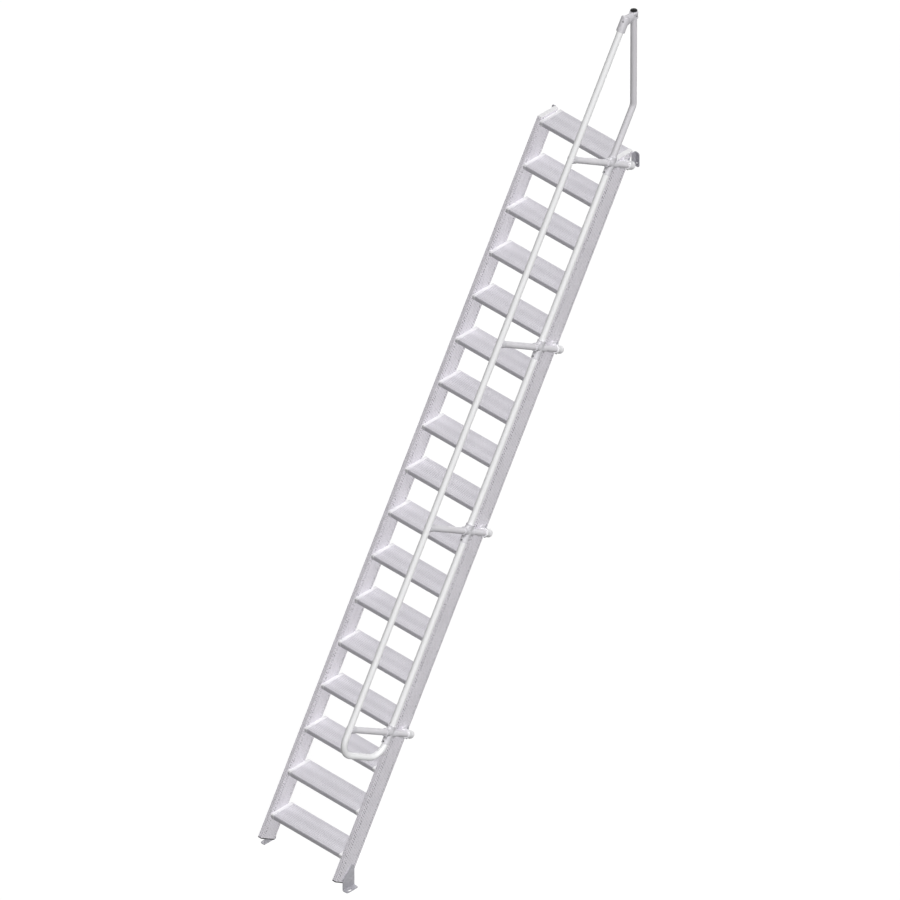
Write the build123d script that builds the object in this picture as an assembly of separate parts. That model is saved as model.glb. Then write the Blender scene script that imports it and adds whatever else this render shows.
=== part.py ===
"""Steep industrial stair: two box stringers, seventeen ribbed treads and one tube handrail.

Lengths are millimetres. X runs across the stair, Y is the way up, Z is up.
The origin is the middle of the right foot bracket's sole, on the floor.
"""

import os
from math import cos, degrees, floor, radians, sin, tan

from build123d import *

# Pitch and steps
pitch_deg = 60.0
tread_count = 17
rise = 246.0
first_rise = 236.0
clear_width = 600.0
tread_depth = 175.0
tread_height = 33.0

# Stringer box profile
stringer_depth = 128.0
stringer_thick = 30.0
stringer_wall = 2.5
stringer_overhang_low = 164.0
stringer_above_top_tread = 20.0
stringer_web_count = 2
face_groove_pitch = 37.0
face_groove_width = 3.0
face_groove_depth = 0.8
edge_groove_pitch = 9.0
edge_groove_width = 2.0
edge_groove_depth = 0.7
stringer_corner = 2.0

# Plugs and covers that close the stringer's ends
foot_plug_thick = 6.0
foot_plug_shank = 20.0
top_cover_thick = 5.0
plug_clearance = 0.2
cut_margin = 1.0

# Tread profile
tread_wall = 2.5
tread_web_count = 2
nosing_bevel = 4.0
tread_rib_pitch = 12.0
tread_groove_width = 5.0
tread_groove_depth = 1.5
tread_rib_margin = 10.0

# Moulded end caps of the treads
cap_width = 22.0
cap_web = 8.0
cap_skirt = 1.5
cap_clearance = 0.2
side_clearance = 0.1

# Handrail tubes
tube_diameter = 40.0
tube_wall = 2.0
rail_side_offset = 35.0
knee_rail_reach = 87.5
handrail_reach = 475.5
return_bend_radius = 100.0
return_bend_low = 665.0
return_leg_length = 30.0
riser_bend_radius = 70.0
riser_above_landing = 1067.0
joint_gap = 0.3
tube_clearance = 0.15

# Struts and their fittings
strut_above_bend = 168.0
strut_below_top = 10.0
strut_pitch = 1202.0
strut_upper_count = 3
clamp_radius = 25.0
clamp_length = 130.0
clamp_arm = 46.0
saddle_radius = 28.0
saddle_mouth_radius = 23.0
saddle_length = 46.0
socket_radius = 27.0
socket_front = 72.0
socket_dome = 112.0
socket_bore_end = 108.0
socket_pad_front = 53.0
socket_pad_rear = 122.0
socket_pad_height = 54.0
socket_pad_thick = 14.0
socket_pad_corner = 10.0
dome_facet_turn = 26

# Fitting at the top of the handrail, with its plug
top_fitting_radius = 26.0
top_socket_length = 86.0
top_socket_below_riser = 16.0
top_elbow_reach = 65.0
top_sleeve_length = 42.0
top_sleeve_margin = 10.0
top_web_thick = 30.0
top_plug_radius = 22.0
top_plug_thick = 7.0
top_plug_bevel = 3.0
top_plug_shank = 22.0

# Foot brackets, folded steel angles
foot_plate = 6.0
foot_flange = 40.0
foot_front = -23.0
foot_rear = 72.0
foot_front_height = 88.0
foot_rear_height = 150.0
foot_peak_height = 160.0
foot_peak_from_rear = 18.0
foot_bend_radius = 8.0
foot_corner = 12.0
foot_slot_width = 14.0
foot_slot_length = 30.0
foot_slot_from_edge = 12.0
foot_slot_from_front = 33.0

# Top brackets, short steel angles behind the stringers
top_plate = 6.0
top_flange = 36.0
top_leg = 33.0
top_bracket_height = 104.0
top_bracket_below_cut = 11.0
top_corner = 14.0
top_hole_diameter = 13.0
top_hole_from_edge = 18.0
top_hole_from_bottom = 27.0
top_bend_radius = 8.0

# Worked out from the driving sizes
pitch = radians(pitch_deg)
going = rise / tan(pitch)
half_clear = clear_width / 2
outer_face = half_clear + stringer_thick
rail_x = outer_face + rail_side_offset
tube_radius = tube_diameter / 2
top_tread_z = first_rise + (tread_count - 1) * rise
top_tread_y = (tread_count - 1) * going
stringer_top_z = top_tread_z + stringer_above_top_tread
stringer_top_along = (stringer_top_z - first_rise) / sin(pitch)
landing_y = top_tread_y + tread_depth
strut_last = stringer_top_along - strut_below_top
strut_along = [strut_last - n * strut_pitch for n in range(strut_upper_count)]
strut_along = [return_bend_low + strut_above_bend] + strut_along[::-1]
riser_top_z = top_tread_z + riser_above_landing
rail_end_z = riser_top_z - top_socket_below_riser
rail_end_along = (rail_end_z - first_rise - handrail_reach * cos(pitch)) / sin(pitch)
riser_y = rail_end_along * cos(pitch) - handrail_reach * sin(pitch) + top_elbow_reach
sole_x = outer_face + foot_flange / 2
sole_y = (foot_front + foot_rear) / 2

# Local frame of the sloping parts: X across, Y square to the stringer and down, Z up the slope
slope = Plane(
    origin=(0, 0, first_rise),
    x_dir=(1, 0, 0),
    z_dir=(0, cos(pitch), sin(pitch)),
)


def on_slope(shape):
    """A shape drawn in the stringer's own axes, set at the pitch."""
    return slope.location * shape


def slope_point(x, square, along):
    """World point from a place across, square to the slope and along it."""
    y = square * sin(pitch) + along * cos(pitch)
    z = first_rise - square * cos(pitch) + along * sin(pitch)
    return Vector(x, y, z)


def save(name, *pieces):
    """Writes one node, moved so that the right sole's middle is the origin."""
    os.makedirs("parts", exist_ok=True)
    placed = [Pos(-sole_x, -sole_y, 0) * piece for piece in pieces]
    node = placed[0] if len(placed) == 1 else Compound(placed)
    export_step(node, f"parts/{name}.step")


def rod(radius, start, end):
    """Solid round bar between two points."""
    axis = end - start
    return extrude(Plane(origin=start, z_dir=axis) * Circle(radius), axis.length)


def tube_ring():
    """Cross section of the handrail tube."""
    return Circle(tube_radius) - Circle(tube_radius - tube_wall)


def pipe(start, end):
    """Straight length of handrail tube."""
    run = end - start
    return extrude(Plane(origin=start, z_dir=run) * tube_ring(), run.length)


def bent_pipe(points, bend_radius):
    """Handrail tube through points, turned at each inner one by a round bend."""
    body = []
    start = points[0]
    for before, corner, after in zip(points, points[1:], points[2:]):
        ahead = (corner - before).normalized()
        onward = (after - corner).normalized()
        turn = ahead.get_angle(onward)
        setback = bend_radius * tan(radians(turn) / 2)
        bend_start = corner - ahead * setback
        inward = (onward - ahead * ahead.dot(onward)).normalized()
        hub = Axis(bend_start + inward * bend_radius, ahead.cross(inward))
        ring = Plane(origin=bend_start, z_dir=ahead) * tube_ring()
        body += [pipe(start, bend_start), revolve(ring, hub, turn)]
        start = corner + onward * setback
    body.append(pipe(start, points[-1]))
    return body[0].fuse(*body[1:])


def even_places(span, step, margin):
    """Centres of equal grooves that fit a span, clear of its two ends."""
    count = int(floor((span - 2 * margin) / step)) + 1
    first = -(count - 1) * step / 2
    return [first + step * n for n in range(count)]


def stringer_section():
    """Box profile with two inner webs, fine edge ribs and long face grooves."""
    outline = RectangleRounded(stringer_thick, stringer_depth, stringer_corner)
    inner_x = stringer_thick - 2 * stringer_wall
    inner_y = stringer_depth - 2 * stringer_wall
    section = outline - Rectangle(inner_x, inner_y)
    for n in range(stringer_web_count):
        y = inner_y * ((n + 1) / (stringer_web_count + 1) - 0.5)
        section += Pos(0, y) * Rectangle(inner_x + stringer_wall, stringer_wall)
    for y in even_places(stringer_depth, face_groove_pitch, face_groove_pitch / 4):
        for side in (-1, 1):
            x = side * (stringer_thick - face_groove_depth) / 2
            section -= Pos(x, y) * Rectangle(face_groove_depth, face_groove_width)
    for x in even_places(stringer_thick, edge_groove_pitch, edge_groove_width + stringer_corner):
        for side in (-1, 1):
            y = side * (stringer_depth - edge_groove_depth) / 2
            section -= Pos(x, y) * Rectangle(edge_groove_width, edge_groove_depth)
    return section


def stringer(side):
    """One stringer: square cut at the foot, cut level at the top."""
    low = foot_plug_thick - stringer_overhang_low
    length = stringer_top_z / sin(pitch) + stringer_depth
    middle = Pos(side * (half_clear + stringer_thick / 2), stringer_depth / 2, low)
    bar = on_slope(middle * extrude(stringer_section(), length))
    level = Plane.XY.offset(stringer_top_z - top_cover_thick)
    return split(bar, bisect_by=level, keep=Keep.BOTTOM)


def foot_plug(side):
    """Moulded plug in the stringer's lower end, with a flange that shows."""
    flange = extrude(
        RectangleRounded(stringer_thick, stringer_depth, stringer_corner), foot_plug_thick
    )
    web_pitch = (stringer_depth - 2 * stringer_wall) / (stringer_web_count + 1)
    shank_x = stringer_thick - 2 * stringer_wall - 2 * plug_clearance
    shank_y = web_pitch - stringer_wall - 2 * plug_clearance
    plug = flange
    for n in range(stringer_web_count + 1):
        y = (n - stringer_web_count / 2) * web_pitch
        block = extrude(Pos(0, y) * Rectangle(shank_x, shank_y), foot_plug_thick + foot_plug_shank)
        core = Rectangle(shank_x - 2 * stringer_wall, shank_y - 2 * stringer_wall)
        hollow = Pos(0, y, foot_plug_thick) * extrude(core, foot_plug_shank)
        plug += block - hollow
    middle = Pos(side * (half_clear + stringer_thick / 2), stringer_depth / 2)
    return on_slope(middle * Pos(0, 0, -stringer_overhang_low) * plug)


def top_cover(side):
    """Flat plate that closes the level cut at the stringer's top."""
    length = stringer_depth / sin(pitch)
    below_top_tread = stringer_above_top_tread / tan(pitch)
    y = top_tread_y + below_top_tread + length / 2
    plate = extrude(Rectangle(stringer_thick, length), top_cover_thick)
    x = side * (half_clear + stringer_thick / 2)
    return Pos(x, y, stringer_top_z - top_cover_thick) * plate


def tread_outline(grow):
    """Side outline of a tread, front top edge at the origin, grown all round."""
    width = tread_depth + 2 * grow
    height = tread_height + 2 * grow
    block = Pos(tread_depth / 2, -tread_height / 2) * Rectangle(width, height)
    return chamfer(block.vertices().group_by(Axis.X)[0], nosing_bevel + grow)


def tread_section():
    """Hollow tread profile with inner webs and a ribbed top."""
    section = tread_outline(0)
    cells = tread_web_count + 1
    inner = tread_depth - (cells + 1) * tread_wall
    cell = inner / cells
    for n in range(cells):
        y = tread_wall + cell / 2 + n * (cell + tread_wall)
        depth = tread_height - 2 * tread_wall - tread_groove_depth
        z = -tread_wall - tread_groove_depth - depth / 2
        section -= Pos(y, z) * Rectangle(cell, depth)
    for y in even_places(tread_depth, tread_rib_pitch, tread_rib_margin):
        place = Pos(tread_depth / 2 + y, -tread_groove_depth / 2)
        section -= place * Rectangle(tread_groove_width, tread_groove_depth)
    return section


def side_plane(x):
    """Drawing plane square to X, with Y to the right and Z up."""
    return Plane(origin=(x, 0, 0), x_dir=(0, 1, 0), z_dir=(1, 0, 0))


def tread(step):
    """One tread, held at both ends in the pockets of its caps."""
    half = half_clear - cap_web - cap_clearance
    bar = extrude(side_plane(-half) * tread_section(), 2 * half)
    return Pos(0, step * going, first_rise + step * rise) * bar


def end_cap(step, side):
    """Moulded cap between a tread's end and the stringer."""
    shell_x = half_clear - cap_width
    pocket_x = shell_x
    if side < 0:
        shell_x = side_clearance - half_clear
        pocket_x = cap_web - half_clear
    shell = extrude(side_plane(shell_x) * tread_outline(cap_skirt), cap_width - side_clearance)
    pocket = extrude(side_plane(pocket_x) * tread_outline(cap_clearance), cap_width - cap_web)
    return Pos(0, step * going, first_rise + step * rise) * (shell - pocket)


def handrail():
    """Long straight handrail tube, from the return bend to the top fitting."""
    low = return_bend_low + return_bend_radius + return_leg_length + joint_gap
    high = rail_end_along - top_fitting_radius
    start = slope_point(rail_x, -handrail_reach, low)
    end = slope_point(rail_x, -handrail_reach, high)
    return pipe(start, end)


def return_bend():
    """Bent tube that turns the handrail back into the knee rail."""
    leg = return_bend_low + return_bend_radius + return_leg_length
    knee_leg = strut_along[0] - joint_gap / 2
    corners = [
        slope_point(rail_x, -handrail_reach, leg),
        slope_point(rail_x, -handrail_reach, return_bend_low),
        slope_point(rail_x, -knee_rail_reach, return_bend_low),
        slope_point(rail_x, -knee_rail_reach, knee_leg),
    ]
    return bent_pipe(corners, return_bend_radius)


def knee_rail():
    """Straight lower tube, between the lowest and the highest cross clamp."""
    start = slope_point(rail_x, -knee_rail_reach, strut_along[0] + joint_gap / 2)
    end = slope_point(rail_x, -knee_rail_reach, strut_along[-1] - joint_gap / 2)
    return pipe(start, end)


def riser_corner():
    """Where the knee rail's line turns upright beside the landing."""
    along = (riser_y + knee_rail_reach * sin(pitch)) / cos(pitch)
    return slope_point(rail_x, -knee_rail_reach, along)


def top_riser():
    """Tube that carries the knee rail's line on and turns it upright."""
    corner = riser_corner()
    low = slope_point(rail_x, -knee_rail_reach, strut_along[-1] + joint_gap / 2)
    high = Vector(rail_x, riser_y, riser_top_z)
    return bent_pipe([low, corner, high], riser_bend_radius)


def strut(along):
    """Strut in two lengths, butted against both sides of the knee rail."""
    touch = tube_radius + joint_gap
    outer = pipe(
        slope_point(rail_x, touch - handrail_reach, along),
        slope_point(rail_x, -touch - knee_rail_reach, along),
    )
    inner = pipe(
        slope_point(rail_x, touch - knee_rail_reach, along),
        slope_point(rail_x, socket_bore_end, along),
    )
    return [outer, inner]


def cross_clamp(along):
    """Cast cross that holds the knee rail and both lengths of the strut."""
    start = slope_point(rail_x, -knee_rail_reach, along - clamp_length / 2)
    end = slope_point(rail_x, -knee_rail_reach, along + clamp_length / 2)
    left = slope_point(rail_x, -knee_rail_reach - clamp_arm, along)
    right = slope_point(rail_x, -knee_rail_reach + clamp_arm, along)
    bore = tube_radius + tube_clearance
    body = rod(clamp_radius, start, end) + rod(clamp_radius, left, right)
    return body - rod(bore, start, end) - rod(bore, left, right)


def rail_saddle(along):
    """Flared collar on the strut's end, cut to sit against the handrail."""
    bore = tube_radius + tube_clearance
    outline = Polyline(
        (bore, 0),
        (saddle_radius, 0),
        (saddle_mouth_radius, saddle_length),
        (bore, saddle_length),
        close=True,
    )
    middle = slope_point(rail_x, -handrail_reach, along)
    mouth = slope_point(rail_x, saddle_length - handrail_reach, along)
    flare = revolve(Plane.XZ * make_face(outline), Axis.Z)
    body = Plane(origin=middle, z_dir=mouth - middle).location * flare
    low = slope_point(rail_x, -handrail_reach, along - saddle_radius - cut_margin)
    high = slope_point(rail_x, -handrail_reach, along + saddle_radius + cut_margin)
    return body - rod(bore, low, high)


def strut_socket(along):
    """Cast socket with a domed end, on a pad against the stringer's outer face."""
    front = slope_point(rail_x, socket_front, along)
    dome = slope_point(rail_x, socket_dome, along)
    length = socket_dome - socket_front
    outline = [(0, 0), (socket_radius, 0)]
    for turn in range(0, 90, dome_facet_turn):
        out = socket_radius * cos(radians(turn))
        up = length + socket_radius * sin(radians(turn))
        outline.append((out, up))
    outline.append((0, outline[-1][1]))
    shape = revolve(Plane.XZ * make_face(Polyline(*outline, close=True)), Axis.Z)
    body = Plane(origin=front, z_dir=dome - front).location * shape
    pad_length = socket_pad_rear - socket_pad_front
    pad = Box(socket_pad_thick, pad_length, socket_pad_height)
    pad = chamfer(pad.edges().filter_by(Axis.X), socket_pad_corner)
    pad_x = outer_face + socket_pad_thick / 2
    body += on_slope(Pos(pad_x, socket_pad_front + pad_length / 2, along) * pad)
    bore_end = slope_point(rail_x, socket_bore_end + joint_gap, along)
    bore_start = slope_point(rail_x, socket_pad_front, along)
    body -= rod(tube_radius + tube_clearance, bore_start, bore_end)
    return body


def top_fitting():
    """Cast elbow that joins the handrail's end to the top of the riser."""
    high = slope_point(rail_x, -handrail_reach, rail_end_along)
    low = slope_point(rail_x, -handrail_reach, rail_end_along - top_socket_length)
    mouth = slope_point(rail_x, -handrail_reach, rail_end_along - top_socket_length - cut_margin)
    stop = slope_point(rail_x, -handrail_reach, rail_end_along - top_fitting_radius + joint_gap)
    sleeve_high = Vector(rail_x, riser_y, riser_top_z - top_sleeve_margin)
    sleeve_low = sleeve_high - Vector(0, 0, top_sleeve_length)
    web_outline = Polyline(
        (low.Y, low.Z),
        (sleeve_low.Y, sleeve_low.Z),
        (sleeve_high.Y, sleeve_high.Z),
        (high.Y, high.Z),
        close=True,
    )
    body = extrude(side_plane(rail_x) * make_face(web_outline), top_web_thick / 2, both=True)
    body += rod(top_fitting_radius, low, high)
    body += rod(top_fitting_radius, sleeve_low, sleeve_high)
    bore = tube_radius + tube_clearance
    run_out = Vector(0, 0, top_fitting_radius)
    return body - rod(bore, mouth, stop) - rod(bore, sleeve_low - run_out, sleeve_high + run_out)


def top_plug():
    """Moulded plug with a bevelled head in the open top of the riser."""
    inner = tube_radius - tube_wall - plug_clearance
    outline = Polyline(
        (0, -top_plug_shank),
        (inner, -top_plug_shank),
        (inner, 0),
        (top_plug_radius, 0),
        (top_plug_radius, top_plug_thick - top_plug_bevel),
        (top_plug_radius - top_plug_bevel, top_plug_thick),
        (0, top_plug_thick),
        close=True,
    )
    plug = revolve(Plane.XZ * make_face(outline), Axis.Z)
    return Pos(rail_x, riser_y, riser_top_z) * plug


def foot_bracket(side):
    """Folded foot angle: side plate on the stringer, slotted flange on the floor."""
    fold = Polyline(
        (0, 0),
        (foot_flange, 0),
        (foot_flange, foot_plate),
        (foot_plate, foot_plate),
        (foot_plate, foot_peak_height),
        (0, foot_peak_height),
        close=True,
    )
    angle = make_face(fold)
    angle = fillet(angle.vertices().sort_by_distance((0, 0))[0], foot_bend_radius)
    inner = angle.vertices().sort_by_distance((foot_plate, foot_plate))[0]
    angle = fillet(inner, foot_bend_radius - foot_plate)
    start = (side * outer_face, foot_rear if side > 0 else foot_front, 0)
    end_on = Plane(origin=start, x_dir=(side, 0, 0), z_dir=(0, -side, 0))
    body = extrude(end_on * angle, foot_rear - foot_front)
    outline = Polyline(
        (foot_front, 0),
        (foot_rear, 0),
        (foot_rear, foot_rear_height),
        (foot_rear - foot_peak_from_rear, foot_peak_height),
        (foot_front, foot_front_height),
        close=True,
    )
    body &= extrude(side_plane(side * outer_face) * make_face(outline), foot_flange, both=True)
    corners = body.edges().filter_by(Axis.Z).sort_by(lambda edge: -side * edge.center().X)[:2]
    body = fillet(corners, foot_corner)
    slot_x = side * (outer_face + foot_flange - foot_slot_from_edge)
    slot_y = foot_front + foot_slot_from_front
    slot = SlotOverall(foot_slot_length, foot_slot_width, rotation=90)
    return body - Pos(slot_x, slot_y) * extrude(slot, foot_plate)


def top_bracket(side):
    """Short angle behind the stringer's top, with a bolt hole to the landing."""
    fold = Polyline(
        (0, 0),
        (side * top_flange, 0),
        (side * top_flange, -top_plate),
        (side * top_plate, -top_plate),
        (side * top_plate, -top_leg),
        (0, -top_leg),
        close=True,
    )
    angle = make_face(fold)
    angle = fillet(angle.vertices().sort_by_distance((0, 0))[0], top_bend_radius)
    inner = angle.vertices().sort_by_distance((side * top_plate, -top_plate))[0]
    angle = fillet(inner, top_bend_radius - top_plate)
    low = stringer_top_z - top_bracket_below_cut - top_bracket_height
    place = Pos(side * outer_face, landing_y, low)
    body = place * extrude(angle, top_bracket_height, dir=(0, 0, 1))
    corners = body.edges().filter_by(Axis.Y).sort_by(lambda edge: -side * edge.center().X)[:2]
    body = fillet(corners, top_corner)
    hole_x = side * (outer_face + top_flange - top_hole_from_edge)
    hole_z = low + top_hole_from_bottom
    start = Vector(hole_x, landing_y - top_plate, hole_z)
    return body - rod(top_hole_diameter / 2, start, start + Vector(0, top_plate, 0))


def build():
    """Makes every node of the stair."""
    for side, name in ((-1, "left"), (1, "right")):
        save(f"stringer_{name}", stringer(side))
        save(f"stringer_foot_plug_{name}", foot_plug(side))
        save(f"stringer_top_cover_{name}", top_cover(side))
        save(f"foot_bracket_{name}", foot_bracket(side))
        save(f"top_bracket_{name}", top_bracket(side))
        save(f"tread_end_caps_{name}", *[end_cap(step, side) for step in range(tread_count)])
    for step in range(tread_count):
        save(f"tread_{step + 1:02d}", tread(step))
    save("handrail", handrail())
    save("knee_rail", knee_rail(), return_bend())
    save("top_riser", top_riser())
    save("top_fitting", top_fitting())
    save("top_plug", top_plug())
    for n, along in enumerate(strut_along):
        save(f"strut_{n + 1}", *strut(along))
    save("cross_clamps", *[half for along in strut_along for half in cross_clamp(along)])
    save("rail_saddles", *[rail_saddle(along) for along in strut_along])
    save("strut_sockets", *[strut_socket(along) for along in strut_along])


build()
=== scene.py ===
import math

import bmesh
import bpy
import numpy as np
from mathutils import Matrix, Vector


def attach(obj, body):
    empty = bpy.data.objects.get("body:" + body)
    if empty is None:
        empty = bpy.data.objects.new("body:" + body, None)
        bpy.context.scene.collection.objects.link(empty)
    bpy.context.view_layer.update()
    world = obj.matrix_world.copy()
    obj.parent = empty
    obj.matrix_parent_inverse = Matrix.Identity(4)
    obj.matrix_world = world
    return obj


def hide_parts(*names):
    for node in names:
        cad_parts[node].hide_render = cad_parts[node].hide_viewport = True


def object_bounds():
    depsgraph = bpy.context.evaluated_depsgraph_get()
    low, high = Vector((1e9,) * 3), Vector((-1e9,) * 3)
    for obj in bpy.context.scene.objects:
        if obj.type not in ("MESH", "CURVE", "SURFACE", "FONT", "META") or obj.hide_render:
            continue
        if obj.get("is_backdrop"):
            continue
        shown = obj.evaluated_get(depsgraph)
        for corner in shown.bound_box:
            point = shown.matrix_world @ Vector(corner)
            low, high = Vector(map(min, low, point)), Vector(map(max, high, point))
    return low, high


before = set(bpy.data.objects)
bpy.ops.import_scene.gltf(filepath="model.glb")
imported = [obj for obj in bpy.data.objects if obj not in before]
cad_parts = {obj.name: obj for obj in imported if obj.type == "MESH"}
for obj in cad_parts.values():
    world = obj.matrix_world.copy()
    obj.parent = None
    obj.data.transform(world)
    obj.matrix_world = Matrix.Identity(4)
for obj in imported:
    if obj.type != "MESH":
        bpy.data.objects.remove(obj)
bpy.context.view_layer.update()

# The stair's own sizes, in metres, as part.py has them, moved to the row's origin
PITCH = math.radians(60)
SIN, COS = math.sin(PITCH), math.cos(PITCH)
ORIGIN = np.array([0.350, 0.0245, 0.0])
FIRST_RISE = 0.236
OUTER_FACE = 0.330
RAIL_X = 0.365
KNEE_REACH, RAIL_REACH = 0.0875, 0.4755
STRUT_ALONG = [0.833, 2.154, 3.356, 4.558]
RAIL_END, RISER_Y, RISER_TOP = 5.4840, 2.3952, 5.239

# Inside radius of a fitting's mouth, just over the 20 mm of the tubes
TUBE_MOUTH = 0.0203

ALONG = np.array([0.0, COS, SIN])
SQUARE = np.array([0.0, SIN, -COS])
ACROSS = np.array([1.0, 0.0, 0.0])
UP = np.array([0.0, 0.0, 1.0])
BACK = np.array([0.0, 1.0, 0.0])

# Grooves of the drawn profiles, each as its first line, their pitch and half a line's width.
# The fine ones are the scene's own: the solids have the others
WIDE_GROOVES = (0.027, 0.037, 0.0022)
FINE_GROOVES = (0.007, 0.015, 0.0030)
EDGE_GROOVES = (0.306, 0.009, 0.0015)
RIB_GROOVES = (0.0155, 0.012, 0.0020)

# The stringer face's middle stretch, and the runs of painted shade and dust in its grooves, in the
# same form
FACE_MIDDLE = (0.064, 0.4, 0.036)
SHADE_AND_DUST_RUNS = (0.0, 0.017, 0.0046)


def on_slope(across, square, along):
    """Point in the row's frame from a place across, square to the stringer and along it."""
    base = np.array([across, 0.0, FIRST_RISE])
    return base + square * SQUARE + along * ALONG - ORIGIN


# Finishes: each is a shader with its own grain, wear and bump


def srgb(code):
    """Linear colour from an sRGB hex value."""
    out = []
    for i in (1, 3, 5):
        c = int(code[i:i + 2], 16) / 255
        out.append(c / 12.92 if c <= 0.04045 else ((c + 0.055) / 1.055) ** 2.4)
    return (*out, 1.0)


def node(tree, kind, links=None, stops=(), **settings):
    """Adds one node. Settings name its properties or sockets. Links name what feeds a socket:
    another socket, a node's first output, or a plain number or vector."""
    made = tree.nodes.new(kind)
    for key, value in settings.items():
        if hasattr(made, key):
            setattr(made, key, value)
        else:
            made.inputs[key.replace("_", " ")].default_value = value
    for n, (at, colour) in enumerate(stops):
        bar = made.color_ramp.elements
        stop = bar[n] if n < len(bar) else bar.new(at)
        stop.position = at
        stop.color = srgb(colour)
    for key, source in (links or {}).items():
        if isinstance(source, bpy.types.Node):
            source = source.outputs[0]
        if isinstance(source, bpy.types.NodeSocket):
            tree.links.new(source, made.inputs[key])
        else:
            made.inputs[key].default_value = source
    return made


def begin(name, **settings):
    """New material with a Principled shader: returns it, its tree, the shader and the place."""
    made = bpy.data.materials.new(name)
    made.use_nodes = True
    tree = made.node_tree
    tree.nodes.clear()
    shader = node(tree, "ShaderNodeBsdfPrincipled", **settings)
    node(tree, "ShaderNodeOutputMaterial", {"Surface": shader.outputs["BSDF"]})
    place = node(tree, "ShaderNodeTexCoord").outputs["Object"]
    return made, tree, shader, place


def dress(tree, shader, grain, tones, gloss, height, depth, under=None):
    """Grain sets colour between tones and roughness between gloss; height is pressed in by depth,
    over the bump that under may bring."""
    ramp = node(tree, "ShaderNodeValToRGB", {"Fac": grain}, stops=tones)
    tree.links.new(ramp.outputs["Color"], shader.inputs["Base Color"])
    rough = node(tree, "ShaderNodeMapRange", {"Value": grain}, To_Min=gloss[0], To_Max=gloss[1])
    tree.links.new(rough.outputs["Result"], shader.inputs["Roughness"])
    links = {"Height": height}
    if under is not None:
        links["Normal"] = under
    bump = node(tree, "ShaderNodeBump", links, Strength=1.0, Distance=depth)
    tree.links.new(bump.outputs["Normal"], shader.inputs["Normal"])


def extruded_finish(name, tones, gloss, turn, stretch, shine=0.5):
    """Aluminium from a die: fine straight drawing lines and slow cloudy changes of tone.
    The lines are drawn 3 to 4 mm apart and the pits 1 mm, coarser than real ones, to show."""
    made, tree, shader, place = begin(name, Metallic=0.12, Specular_IOR_Level=shine)
    laid = node(tree, "ShaderNodeMapping", {"Vector": place}, Rotation=turn, Scale=stretch)
    lines = node(tree, "ShaderNodeTexNoise", {"Vector": laid.outputs["Vector"]},
                 Scale=1.0, Detail=4.0, Roughness=0.7)
    cloud = node(tree, "ShaderNodeTexNoise", {"Vector": place}, Scale=7.0, Detail=5.0)
    grain = node(tree, "ShaderNodeMix", {"A": cloud.outputs["Fac"], "B": lines.outputs["Fac"]},
                 Factor=0.6)
    speck = node(tree, "ShaderNodeTexNoise", {"Vector": place}, Scale=900.0, Detail=2.0)
    pits = node(tree, "ShaderNodeBump", {"Height": speck.outputs["Fac"]},
                Strength=0.35, Distance=0.0003)
    dress(tree, shader, grain.outputs["Result"], tones, gloss, lines.outputs["Fac"], 0.0006,
          pits.outputs["Normal"])
    return made


def reopen(made):
    """A finish's tree, shader and place, and the place measured from the foot of the slope."""
    tree = made.node_tree
    shader = next(n for n in tree.nodes if n.type == "BSDF_PRINCIPLED")
    place = next(n for n in tree.nodes if n.type == "TEX_COORD").outputs["Object"]
    laid = node(tree, "ShaderNodeMapping", {"Vector": place},
                Location=tuple(ORIGIN - FIRST_RISE * UP))
    return tree, shader, place, laid


def near_lines(tree, value, first, pitch, half_width):
    """1 close to evenly pitched lines and 0 between: distance = pingpong(value - first, pitch / 2)."""
    moved = node(tree, "ShaderNodeMath", {0: value, 1: first}, operation="SUBTRACT")
    away = node(tree, "ShaderNodeMath", {0: moved, 1: pitch / 2}, operation="PINGPONG")
    return node(tree, "ShaderNodeMath", {0: away, 1: half_width}, operation="LESS_THAN")


def darken(tree, shader, mask, tone):
    """Lays a dark tone over the shader's colour where mask is 1."""
    under = shader.inputs["Base Color"].links[0].from_socket
    mixed = node(tree, "ShaderNodeMix", {0: mask, 6: under, 7: srgb(tone)}, data_type="RGBA")
    tree.links.new(mixed.outputs[2], shader.inputs["Base Color"])


# Mill finish of the stringers: drawing lines run up the slope, so the faces look brushed
stringer_metal = extruded_finish(
    "aluminium_extruded_mill_finish",
    [(0.30, "#D6D3D9"), (0.70, "#E9E6EC")], (0.42, 0.58),
    (PITCH - math.pi / 2, 0, 0), (330.0, 330.0, 1.5))


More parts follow.
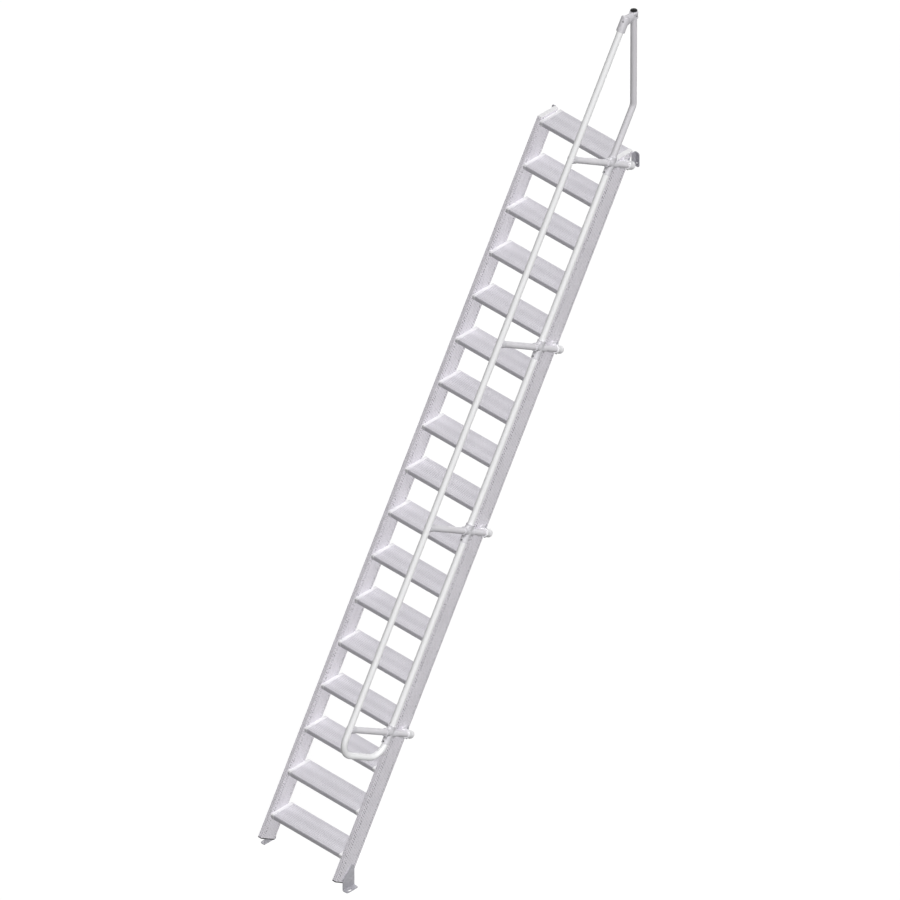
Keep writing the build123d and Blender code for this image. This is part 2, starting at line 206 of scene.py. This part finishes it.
def groove_shade(made):
    """Painted shade and dust in the profile's long grooves: on the faces at 37 mm, fainter, and
    finer at 15 mm, most of it close to their edges, and on the narrow edges at 9 mm. It lies in
    short runs some 17 mm apart, staggered from line to line, so the lines look dotted: run =
    pingpong(place along the slope + 0.57 * place square to it + 0.85 * place across + noise,
    8.5 mm) under 4.6 mm.
    Real grains of dust are finer, and the runs are as coarse as they need to be to show."""
    tree, shader, place, laid = reopen(made)
    stagger = ALONG + 0.57 * SQUARE + 0.85 * ACROSS
    square, staggered, across = [
        node(tree, "ShaderNodeVectorMath", {0: laid, 1: tuple(way)},
             operation="DOT_PRODUCT").outputs["Value"] for way in (SQUARE, stagger, ACROSS)]
    side = node(tree, "ShaderNodeMath", {0: across}, operation="ABSOLUTE")
    wide_lines = near_lines(tree, square, *WIDE_GROOVES)
    wide_faint = node(tree, "ShaderNodeMath", {0: wide_lines, 1: 0.30}, operation="MULTIPLY")
    fine_lines = near_lines(tree, square, *FINE_GROOVES)
    in_middle = near_lines(tree, square, *FACE_MIDDLE)
    near_edge = node(tree, "ShaderNodeMath", {0: in_middle, 1: -0.70, 2: 1.0},
                     operation="MULTIPLY_ADD")
    fine_outer = node(tree, "ShaderNodeMath", {0: fine_lines, 1: near_edge}, operation="MULTIPLY")
    face_lines = node(tree, "ShaderNodeMath", {0: wide_faint, 1: fine_outer}, operation="MAXIMUM")
    edge_lines = near_lines(tree, side, *EDGE_GROOVES)
    normal = node(tree, "ShaderNodeNewGeometry").outputs["Normal"]
    turned_to = node(tree, "ShaderNodeSeparateXYZ", {"Vector": normal}).outputs["X"]
    turned_out = node(tree, "ShaderNodeMath", {0: turned_to}, operation="ABSOLUTE")
    on_face = node(tree, "ShaderNodeMath", {0: turned_out, 1: 0.7}, operation="GREATER_THAN")
    lines = node(tree, "ShaderNodeMix", {0: on_face, 2: edge_lines, 3: face_lines})
    shift = node(tree, "ShaderNodeTexNoise", {"Vector": place}, Scale=55.0, Detail=1.0)
    wander = node(tree, "ShaderNodeMath", {0: shift, 1: 0.024, 2: staggered},
                  operation="MULTIPLY_ADD")
    runs = near_lines(tree, wander, *SHADE_AND_DUST_RUNS)
    patch = node(tree, "ShaderNodeTexNoise", {"Vector": place}, Scale=70.0, Detail=1.0)
    patchy = node(tree, "ShaderNodeMapRange", {"Value": patch},
                  From_Min=0.40, From_Max=0.60, To_Min=0.45, To_Max=0.95)
    dotted = node(tree, "ShaderNodeMath", {0: runs, 1: patchy}, operation="MULTIPLY")
    mask = node(tree, "ShaderNodeMath", {0: lines, 1: dotted}, operation="MULTIPLY")
    # The grooves are darkened here: painted shade, with dust
    darken(tree, shader, mask.outputs[0], "#5A585E")


groove_shade(stringer_metal)

# The treads' profile, lines across the stair between the ribs, a shade darker and matter
tread_metal = extruded_finish(
    "aluminium_extruded_ribbed_tread",
    [(0.30, "#D4D2D8"), (0.70, "#E4E2E7")], (0.48, 0.66),
    (0, 0, 0), (1.5, 330.0, 330.0))


def rib_shade(made):
    """Shade between the ribs at 12 mm and two slow bands over the depth, where boots polish less.
    Depth on a tread = y - (z - first rise) / tan(pitch), which starts anew at each step, and
    band = 0.1 - 0.1 * cos(75 * (depth - 41 mm)), in radians for metres. The faces turned to the
    front are darker all over: painted shade."""
    tree, shader, _, laid = reopen(made)
    depth = node(tree, "ShaderNodeVectorMath", {0: laid, 1: (0.0, 1.0, -1 / math.tan(PITCH))},
                 operation="DOT_PRODUCT").outputs["Value"]
    grooves = near_lines(tree, depth, *RIB_GROOVES)
    shade = node(tree, "ShaderNodeMath", {0: grooves, 1: 0.22}, operation="MULTIPLY")
    from_band = node(tree, "ShaderNodeMath", {0: depth, 1: 0.041}, operation="SUBTRACT")
    swing = node(tree, "ShaderNodeMath", {0: from_band, 1: 75.0}, operation="MULTIPLY")
    wave = node(tree, "ShaderNodeMath", {0: swing}, operation="COSINE")
    band = node(tree, "ShaderNodeMapRange", {"Value": wave}, From_Min=-1.0, From_Max=1.0,
                To_Min=0.20, To_Max=0.0)
    shade_and_wear = node(tree, "ShaderNodeMath", {0: shade, 1: band}, operation="MAXIMUM")
    normal = node(tree, "ShaderNodeNewGeometry").outputs["Normal"]
    facing = node(tree, "ShaderNodeSeparateXYZ", {"Vector": normal})
    on_top = node(tree, "ShaderNodeMath", {0: facing.outputs["Z"], 1: 0.7}, operation="GREATER_THAN")
    on_front = node(tree, "ShaderNodeMath", {0: facing.outputs["Y"], 1: -0.5}, operation="LESS_THAN")
    top_part = node(tree, "ShaderNodeMath", {0: shade_and_wear, 1: on_top}, operation="MULTIPLY")
    # Faces turned to the front take 0.30 of the dark tone: painted shade
    both = node(tree, "ShaderNodeMath", {0: on_front, 1: 0.30, 2: top_part}, operation="MULTIPLY_ADD")
    darken(tree, shader, both.outputs[0], "#8F8C94")


rib_shade(tread_metal)

# Anodised tube of the long rail: smooth and pale, with a soft satin gloss
rail_metal = extruded_finish(
    "aluminium_tube_satin_anodised",
    [(0.25, "#F0F0F2"), (0.75, "#FBFBFB")], (0.34, 0.46),
    (PITCH - math.pi / 2, 0, 0), (260.0, 260.0, 0.8))

# The upright tube and the struts: same tube left in mill finish, a tone greyer
strut_metal = extruded_finish(
    "aluminium_tube_mill_finish",
    [(0.25, "#D6D4D8"), (0.75, "#E5E3E7")], (0.40, 0.54),
    (PITCH - math.pi / 2, 0, 0), (260.0, 260.0, 2.0), 0.2)


def cast_finish(name, tones):
    """Die-cast aluminium, tumbled: soft lumps and a grain that break up its gloss. The grain is
    drawn 1.4 mm apart, coarser than the real one, to show."""
    made, tree, shader, place = begin(name, Metallic=0.12)
    lump = node(tree, "ShaderNodeTexNoise", {"Vector": place}, Scale=60.0, Detail=5.0)
    grain = node(tree, "ShaderNodeTexNoise", {"Vector": place}, Scale=700.0, Detail=3.0)
    pits = node(tree, "ShaderNodeBump", {"Height": grain.outputs["Fac"]},
                Strength=0.6, Distance=0.0004)
    dress(tree, shader, lump.outputs["Fac"], tones, (0.40, 0.60), lump.outputs["Fac"], 0.0006,
          pits.outputs["Normal"])
    return made


def galvanised_finish():
    """Hot-dip zinc on folded steel: flat crystals some 9 mm across, each of its own tone."""
    made, tree, shader, place = begin("steel_hot_dip_galvanised", Metallic=0.35)
    crystal = node(tree, "ShaderNodeTexVoronoi", {"Vector": place}, Scale=110.0)
    cloud = node(tree, "ShaderNodeTexNoise", {"Vector": place}, Scale=30.0, Detail=6.0)
    grain = node(tree, "ShaderNodeMix",
                 {"A": crystal.outputs["Color"], "B": cloud.outputs["Fac"]}, Factor=0.55)
    dress(tree, shader, grain.outputs["Result"], [(0.2, "#9B9AA0"), (0.8, "#B9B8BE")],
          (0.38, 0.62), cloud.outputs["Fac"], 0.0008)
    return made


def zinc_finish():
    """Bright zinc plate on turned steel: darker, worn patches, and a grain from the tool, which
    is drawn 0.7 mm apart, coarser than the real one, to show."""
    made, tree, shader, place = begin("steel_zinc_plated", Metallic=0.5)
    wear = node(tree, "ShaderNodeTexNoise", {"Vector": place}, Scale=240.0, Detail=4.0)
    tooled = node(tree, "ShaderNodeTexNoise", {"Vector": place}, Scale=1500.0, Detail=2.0)
    dress(tree, shader, wear.outputs["Fac"], [(0.3, "#A3A2A7"), (0.7, "#C2C1C6")],
          (0.30, 0.50), tooled.outputs["Fac"], 0.0002)
    return made


def fine_grained_finish(name, tones, gloss, depth, shine=0.5):
    """Moulded plastic or rubber, or a black oxide: a faint flow of tone and a fine grain, which
    is drawn 0.9 mm apart, coarser than the real one, to show."""
    made, tree, shader, place = begin(name, Metallic=0.0, Specular_IOR_Level=shine)
    flow = node(tree, "ShaderNodeTexNoise", {"Vector": place}, Scale=25.0, Detail=3.0)
    grain = node(tree, "ShaderNodeTexNoise", {"Vector": place}, Scale=1100.0, Detail=2.0)
    pits = node(tree, "ShaderNodeBump", {"Height": grain.outputs["Fac"]},
                Strength=0.5, Distance=depth)
    dress(tree, shader, flow.outputs["Fac"], tones, gloss, flow.outputs["Fac"], 0.0004,
          pits.outputs["Normal"])
    return made


# The fittings' castings: pale grey, with soft lumps under a dull gloss
cast_metal = cast_finish("aluminium_cast_tumbled", [(0.3, "#CDCBD0"), (0.7, "#DDDCE0")])
# The elbow's casting, duller and a tone darker, as if from another batch
elbow_metal = cast_finish("aluminium_cast_dull", [(0.3, "#C5C3C8"), (0.7, "#D4D2D6")])
# The sockets' barrels: the same casting as their feet, a tone paler as a painted highlight
highlit_cast_metal = cast_finish("aluminium_cast_painted_highlight", [(0.3, "#E6E5E8"), (0.7, "#F5F5F6")])
# Folded brackets, the darkest metal of the stair, mottled with zinc crystals
bracket_metal = galvanised_finish()
# Bolts and countersunk screws, a tone brighter than the brackets
bolt_metal = zinc_finish()
# Pale caps at the treads' ends, nearly white, with a dull moulded skin; those on the left, where
#  the photo shows them in a lower tone, are a darker copy of the same plastic: painted shade
cap_plastic = fine_grained_finish(
    "plastic_moulded_pale_cap", [(0.3, "#EDECEE"), (0.7, "#F8F7F9")], (0.42, 0.58), 0.0003)
# The same cap plastic a tone darker: painted shade
shaded_cap = fine_grained_finish(
    "plastic_moulded_cap_painted_shade", [(0.3, "#DFDEE1"), (0.7, "#EAE9EB")], (0.46, 0.62), 0.0003)
# Covers on the stringers' tops, a pale plate with a fine grain
cover_plastic = fine_grained_finish(
    "plastic_moulded_pale_cover", [(0.3, "#E9E8EA"), (0.7, "#F5F5F6")], (0.45, 0.62), 0.0003)
# Black plugs in the open ends: dull rubber that hardly shines
plug_black = fine_grained_finish(
    "rubber_moulded_black", [(0.3, "#050506"), (0.7, "#0E0E10")], (0.50, 0.70), 0.0003, 0.15)
# Black oxide of the small set screws, slightly oily
screw_black = fine_grained_finish(
    "steel_black_oxide", [(0.3, "#1A1A1C"), (0.7, "#303034")], (0.30, 0.45), 0.0001)

# Each node takes the finish of the first line that its name starts with
NODE_FINISHES = [
    # The left caps take the darker copy of the plastic: painted shade
    ("tread_end_caps_left", shaded_cap),
    ("tread_end_caps_right", cap_plastic),
    ("tread_", tread_metal),
    ("stringer_foot_plug", plug_black),
    ("stringer_top_cover", cover_plastic),
    ("stringer_", stringer_metal),
    ("handrail", rail_metal),
    ("knee_rail", rail_metal),
    ("top_riser", strut_metal),
    ("top_plug", plug_black),
    ("top_fitting", cast_metal),
    ("top_bracket", bracket_metal),
    ("foot_bracket", bracket_metal),
    ("strut_sockets", cast_metal),
    ("strut_", strut_metal),
    ("cross_clamps", cast_metal),
    ("rail_saddles", cast_metal)]
for name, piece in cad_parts.items():
    chosen = next(finish for start, finish in NODE_FINISHES if name.startswith(start))
    for slot in piece.material_slots:
        slot.material = chosen


# New pieces: surfaces on a grid, worked out as whole arrays


def grid_faces(rows, columns, first):
    """Quads of a grid whose rows close on themselves, counted from the point first."""
    row, column = np.meshgrid(np.arange(rows - 1), np.arange(columns), indexing="ij")
    onward = (column + 1) % columns
    low, high = row * columns, (row + 1) * columns
    quads = np.stack([low + column, low + onward, high + onward, high + column], axis=-1)
    return quads.reshape(-1, 4) + first


def make(name, grids, finish):
    """One piece from grids of points (rows, columns, 3); a row drawn to one point closes it.
    Edges of 35 degrees and more stay sharp."""
    points, faces, first = [], [], 0
    for grid in grids:
        rows, columns = grid.shape[:2]
        points.append(grid.reshape(-1, 3))
        faces.append(grid_faces(rows, columns, first))
        first += rows * columns
    mesh = bpy.data.meshes.new(name)
    mesh.from_pydata(np.concatenate(points).tolist(), [], np.concatenate(faces).tolist())
    shell = bmesh.new()
    shell.from_mesh(mesh)
    bmesh.ops.remove_doubles(shell, verts=shell.verts, dist=1e-6)
    bmesh.ops.recalc_face_normals(shell, faces=shell.faces)
    shell.to_mesh(mesh)
    shell.free()
    mesh.shade_smooth()
    mesh.set_sharp_from_angle(angle=math.radians(35))
    piece = bpy.data.objects.new(name, mesh)
    bpy.context.scene.collection.objects.link(piece)
    mesh.materials.append(finish)
    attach(piece, "root")
    return piece


def turned(profile, centre, axis, columns=24, flats=None):
    """A profile of (radius, height) spun about an axis: centre + height * axis + radius * ring.
    With flats, a hexagon that wide cuts it: a radius is held to flats / 2 / cos(angle to a flat)."""
    axis = axis / np.linalg.norm(axis)
    side = np.cross(axis, ACROSS if abs(axis[0]) < 0.9 else BACK)
    side = side / np.linalg.norm(side)
    angle = np.linspace(0, 2 * math.pi, columns, endpoint=False)
    ring = np.cos(angle)[:, None] * side + np.sin(angle)[:, None] * np.cross(axis, side)
    radius, height = np.array(profile).T
    spread = np.repeat(radius[:, None], columns, axis=1)
    if flats:
        to_flat = (angle + math.pi / 6) % (math.pi / 3) - math.pi / 6
        spread = np.minimum(spread, flats / 2 / np.cos(to_flat))
    return centre + height[:, None, None] * axis + spread[:, :, None] * ring


def closed(rows):
    """Rows of points with one more at each end, which is drawn to the end row's centre."""
    first, last = (np.broadcast_to(row.mean(axis=0), row.shape) for row in (rows[0], rows[-1]))
    return np.stack([first, *rows, last])


def dome(radius, start, tall, steps):
    """A quarter of an ellipse as a profile's end: radius * cos(t), start + tall * sin(t)."""
    return [(radius * math.cos(t), start + tall * math.sin(t))
            for t in np.linspace(0, math.pi / 2, steps)]


def bolt(centre, axis):
    """Hexagon head, 10 mm over its flats, with a turned chamfer, on a washer."""
    flats, seat, shoulder, top = 0.010, 0.0016, 0.0042, 0.0056
    corner, chamfer, ring = 0.58 * flats, 0.46 * flats, 0.92 * flats
    head = [(0, seat), (corner, seat), (corner, shoulder), (chamfer, top), (0, top)]
    washer = [(0, 0.0), (ring, 0.0), (ring, 0.0014), (ring - 0.0004, 0.0017), (0, 0.0017)]
    return [turned(head, centre, axis, flats=flats), turned(washer, centre, axis)]


def set_screw(centre, axis, radius):
    """Set screw: a low round collar with a pocket for its key."""
    top, pocket, sunk = 0.0018, 0.55 * radius, 0.003
    return turned([(0, -0.002), (radius, -0.002), (radius, 0.0012), (0.85 * radius, top),
                   (pocket, top), (pocket, top - sunk), (0, top - sunk)], centre, axis)


def countersunk(centre, axis):
    """Countersunk screw, 13 mm across, flush but for its soft crown, with a round drive pocket."""
    return turned([(0, -0.001), (0.0065, -0.001), (0.0065, 0.0002), (0.0052, 0.0009),
                   (0.00273, 0.0010), (0.00247, -0.0006), (0, -0.0006)], centre, axis)


def lofted(square, along, sections):
    """Rounded oblong sections stacked across the stair about one place on the slope. Each is
    (across, half square, half along, power): square + half * sign(cos) * |cos| ** (2 / power),
    and along the same with sin."""
    angle = np.linspace(0, 2 * math.pi, 40, endpoint=False)[:, None]
    c, s = np.cos(angle), np.sin(angle)
    rows = []
    for across, half_square, half_along, power in sections:
        to_side = half_square * np.sign(c) * np.abs(c) ** (2 / power)
        run = half_along * np.sign(s) * np.abs(s) ** (2 / power)
        rows.append(on_slope(across, square + to_side, along + run))
    return closed(rows)


def barrel(centre, axis, radius, low, high, lip):
    """Cast sleeve from low to high along its axis, spun, with a rolled lip at both ends: radius
    grows by lip over the last 7 mm and turns in to the tube."""
    end = [(TUBE_MOUTH, -0.001), (TUBE_MOUTH + 0.001, 0), (radius + lip - 0.001, 0),
           (radius + lip, -0.001), (radius + lip, -0.004), (radius, -0.007)]
    profile = [(0, high - 0.001)] + [(r, high + h) for r, h in end]
    profile += [(r, low - h) for r, h in reversed(end)] + [(0, low + 0.001)]
    return turned(profile, centre, axis, 40)


def gusset(corner, one_way, other_way):
    """Concave web in the corner of two arms. Its edge is a quarter circle of radius reach about
    corner + reach * (one way + other way); its thickness is rounded off as half an ellipse."""
    reach, half, heel = 0.013, 0.015, 0.012
    turn = np.linspace(0, math.pi / 2, 13)[:, None]
    hub = corner + reach * (one_way + other_way)
    edge = hub - reach * (np.cos(turn) * one_way + np.sin(turn) * other_way)
    inner = corner - heel * (one_way + other_way)
    outward = (edge - inner) / np.linalg.norm(edge - inner, axis=1)[:, None]
    normal = np.cross(one_way, other_way)
    around = np.linspace(-math.pi / 2, math.pi / 2, 9)[None, :, None]
    rim = edge[:, None] + half * (0.6 * np.cos(around) * outward[:, None] + np.sin(around) * normal)
    heel_low, heel_high = (np.broadcast_to(inner + way * half * normal, (13, 1, 3)) for way in (-1, 1))
    return closed(np.concatenate([heel_low, rim, heel_high], axis=1))


def elbow_web(start, end):
    """Web of ellipses on the line from start to end. At a share t of it, half the height is
    46 mm - 18 mm * t, and half the width across is 24 mm - 4 mm * sin(pi * t). The height's way
    swings from along the slope to upright: (1 - t) * along + t * up."""
    angle = np.linspace(0, 2 * math.pi, 32, endpoint=False)[:, None]
    rows = []
    for t in np.linspace(0, 1, 9):
        tall = 0.046 - 0.018 * t
        wide = 0.024 - 0.004 * math.sin(math.pi * t)
        rise = (1 - t) * ALONG + t * UP
        rows.append(start + t * (end - start) + tall * np.sin(angle) * rise
                    + wide * np.cos(angle) * ACROSS)
    return closed(rows)


# Cross castings: two sleeves that cross, with concave webs in their four corners
grids = []
for along in STRUT_ALONG:
    middle = on_slope(RAIL_X, -KNEE_REACH, along)
    grids.append(barrel(middle, ALONG, 0.025, -0.071, 0.047, 0.0010))
    grids.append(barrel(middle, SQUARE, 0.025, -0.046, 0.046, 0.0010))
    for way in (-1, 1):
        for other in (-1, 1):
            corner = middle + 0.021 * (way * ALONG + other * SQUARE)
            grids.append(gusset(corner, way * ALONG, other * SQUARE))
castings = make("cross_castings", grids, cast_metal)
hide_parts("cross_clamps")

# Sockets: a domed barrel round the strut's end, on a flared foot against the stringer
mouth = [(0, 0.002), (TUBE_MOUTH, 0.002), (0.0215, 0), (0.0265, 0), (0.0278, 0.0015),
         (0.0278, 0.0050), (0.0270, 0.0070)]
foot = [(OUTER_FACE + 0.0003, 0.034, 0.038, 4), (OUTER_FACE + 0.006, 0.034, 0.038, 4),
        (OUTER_FACE + 0.0085, 0.0315, 0.0355, 4), (OUTER_FACE + 0.0095, 0.027, 0.024, 3.2),
        (OUTER_FACE + 0.013, 0.0245, 0.0225, 3), (OUTER_FACE + 0.022, 0.0225, 0.0225, 2.6),
        (OUTER_FACE + 0.035, 0.021, 0.0235, 2.4)]
barrels, feet = [], []
for along in STRUT_ALONG:
    front = on_slope(RAIL_X, 0.072, along)
    barrels.append(turned(mouth + dome(0.027, 0.040, 0.026, 9), front, SQUARE, 40))
    feet.append(lofted(0.0885, along, foot))
# The barrels take the paler copy of the casting, a painted highlight; the feet the plain one
sockets = make("socket_barrels", barrels, highlit_cast_metal)
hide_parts("strut_sockets")
make("socket_feet", feet, cast_metal)

# Bolts of the sockets' feet against the stringer, one above and one below each strut
grids = []
for along in STRUT_ALONG:
    for step in (-0.0295, 0.0295):
        grids += bolt(on_slope(OUTER_FACE + 0.0085, 0.102, along + step), ACROSS)
make("socket_bolts", grids, bolt_metal)

# Set screws: two in each cross casting, one under each socket's barrel
grids = []
for along in STRUT_ALONG:
    grids.append(set_screw(on_slope(RAIL_X, -KNEE_REACH - 0.0262, along - 0.058), -SQUARE, 0.0045))
    grids.append(set_screw(on_slope(RAIL_X, -KNEE_REACH - 0.036, along - 0.0262), -ALONG, 0.0045))
    grids.append(set_screw(on_slope(RAIL_X, 0.092, along - 0.0290), -ALONG, 0.0070))
make("casting_set_screws", grids, screw_black)

# Elbow at the handrail's top: a socket on the slope, a sleeve on the upright tube, a web between
rail_top = on_slope(RAIL_X, -RAIL_REACH, RAIL_END)
riser_top = np.array([RAIL_X, RISER_Y, RISER_TOP]) - ORIGIN
mouth = [(0, -0.089), (TUBE_MOUTH, -0.089), (0.0215, -0.090), (0.0265, -0.090),
         (0.0276, -0.0885), (0.0276, -0.085), (0.0272, -0.081)]
elbow = make("top_elbow_casting", [
    turned(mouth + dome(0.0272, 0.002, 0.010, 7), rail_top - 0.006 * ALONG, ALONG, 40),
    barrel(riser_top - 0.031 * UP, UP, 0.0255, -0.021, 0.021, 0.0015),
    elbow_web(rail_top - 0.036 * ALONG, riser_top - 0.034 * UP)], elbow_metal)
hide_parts("top_fitting")

# Plug in the upright tube's open top, a low cone with a rounded rim
rim = [(0, -0.020), (0.0176, -0.020), (0.0176, 0.0), (0.0214, 0.0), (0.0220, 0.0006),
       (0.0219, 0.0016), (0.0209, 0.0024), (0.0100, 0.0058), (0.0030, 0.0069), (0, 0.0070)]
plug = make("riser_top_plug", [turned(rim, riser_top, UP, 48)], plug_black)
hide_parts("top_plug")

# The elbow's two set screws, one in its socket and one in its sleeve
facing = 0.40 * ACROSS - 0.92 * SQUARE
make("elbow_set_screws", [
    set_screw(rail_top - 0.028 * ALONG + 0.0270 * facing, facing, 0.0055),
    set_screw(riser_top - 0.031 * UP + 0.0257 * ACROSS, ACROSS, 0.0045)],
    screw_black)

# Countersunk screws of the foot brackets, in the stringers' outer faces
grids = []
for side in (-1, 1):
    face = side * (OUTER_FACE + 0.006)
    for back, high in ((0.030, 0.075), (0.048, 0.125)):
        grids.append(countersunk(np.array([face, back, high]) - ORIGIN, side * ACROSS))
make("foot_bracket_screws", grids, bolt_metal)


# Floor, lamps, world and camera

floor_mesh = bpy.data.meshes.new("studio_floor")
reach = 30.0
floor_mesh.from_pydata(
    [(-reach, -reach, 0), (reach, -reach, 0), (reach, reach, 0), (-reach, reach, 0)],
    [], [(0, 1, 2, 3)])
floor = bpy.data.objects.new("studio_floor", floor_mesh)
bpy.context.scene.collection.objects.link(floor)
floor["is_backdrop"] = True


def seen_rays(tree):
    """1 for rays from the lens, from gloss and through glass, 0 for the light on the object."""
    path = node(tree, "ShaderNodeLightPath")
    either = node(tree, "ShaderNodeMath", {0: path.outputs["Is Camera Ray"],
                                           1: path.outputs["Is Glossy Ray"]}, operation="MAXIMUM")
    return node(tree, "ShaderNodeMath", {0: either, 1: path.outputs["Is Transmission Ray"]},
                operation="MAXIMUM")


def seen_white(tree, seen, lit, white):
    """Adds white light of the given strength where seen is 1, and none elsewhere."""
    glow = node(tree, "ShaderNodeEmission", Color=srgb("#FFFFFF"), Strength=white)
    dark = node(tree, "ShaderNodeEmission", Strength=0.0)
    chosen = node(tree, "ShaderNodeMixShader", {0: seen, 1: dark, 2: glow})
    return node(tree, "ShaderNodeAddShader", {0: lit, 1: chosen})


# The floor looks paler to the lens than to the object, so it keeps a shadow and throws little light
floor_white = bpy.data.materials.new("studio_floor_pale")
floor_white.use_nodes = True
tree = floor_white.node_tree
tree.nodes.clear()
seen = seen_rays(tree)
pale = node(tree, "ShaderNodeMix", {0: seen, 6: srgb("#626262"), 7: srgb("#A0A0A0")},
            data_type="RGBA")
matt = node(tree, "ShaderNodeBsdfDiffuse", {"Color": pale.outputs[2]})
node(tree, "ShaderNodeOutputMaterial", {"Surface": seen_white(tree, seen, matt, 0.725)})
floor_mesh.materials.append(floor_white)

world = bpy.data.worlds.new("studio_world")
bpy.context.scene.world = world
world.use_nodes = True
tree = world.node_tree
tree.nodes.clear()
sky = node(tree, "ShaderNodeBackground", Color=srgb("#FFFFFF"), Strength=0.02)
node(tree, "ShaderNodeOutputWorld", {"Surface": seen_white(tree, seen_rays(tree), sky, 0.98)})


def lamp(name, towards, strength, spread, shadow):
    """A far soft lamp that shines from the way that towards points."""
    light = bpy.data.lights.new(name, "SUN")
    light.energy = strength
    light.angle = math.radians(spread)
    light.use_shadow = shadow
    placed = bpy.data.objects.new(name, light)
    placed.rotation_mode = "QUATERNION"
    placed.rotation_quaternion = Vector(towards).to_track_quat("Z", "Y")
    bpy.context.scene.collection.objects.link(placed)


# A broad lamp from the climber's right and above, a weaker one that casts the shadow, and a low
# one from behind for the far side
lamp("key_lamp", (0.60, -0.21, 0.77), 2.85, 20, False)
lamp("shadow_lamp", (0.55, -0.15, 0.82), 0.38, 25, True)
lamp("far_side_lamp", (-0.68, 0.72, 0.12), 0.85, 40, False)

# A very long lens far away, for the photo's even isometric view of the stair's middle
FRAME_WIDTH, LENS, SENSOR = 5.373, 1500.0, 36.0
MIDDLE, ABOVE_MIDDLE = Vector((-0.350, 1.1919, 2.4365)), 0.00955
TURN, LIFT = math.radians(45), math.asin(1 / math.sqrt(3))
out = Vector((math.sin(TURN) * math.cos(LIFT), -math.cos(TURN) * math.cos(LIFT), math.sin(LIFT)))
upward = (Vector(UP) - out * out.z).normalized()
away = FRAME_WIDTH * LENS / SENSOR
lens = bpy.data.cameras.new("photo_camera")
lens.lens = LENS
lens.sensor_width = SENSOR
lens.clip_start = 1.0
lens.clip_end = away + 60.0
camera = bpy.data.objects.new("photo_camera", lens)
camera.location = MIDDLE + upward * ABOVE_MIDDLE + out * away
camera.rotation_mode = "QUATERNION"
camera.rotation_quaternion = out.to_track_quat("Z", "Y")
bpy.context.scene.collection.objects.link(camera)
bpy.context.scene.camera = camera
bpy.context.scene.view_settings.view_transform = "Standard"

low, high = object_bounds()
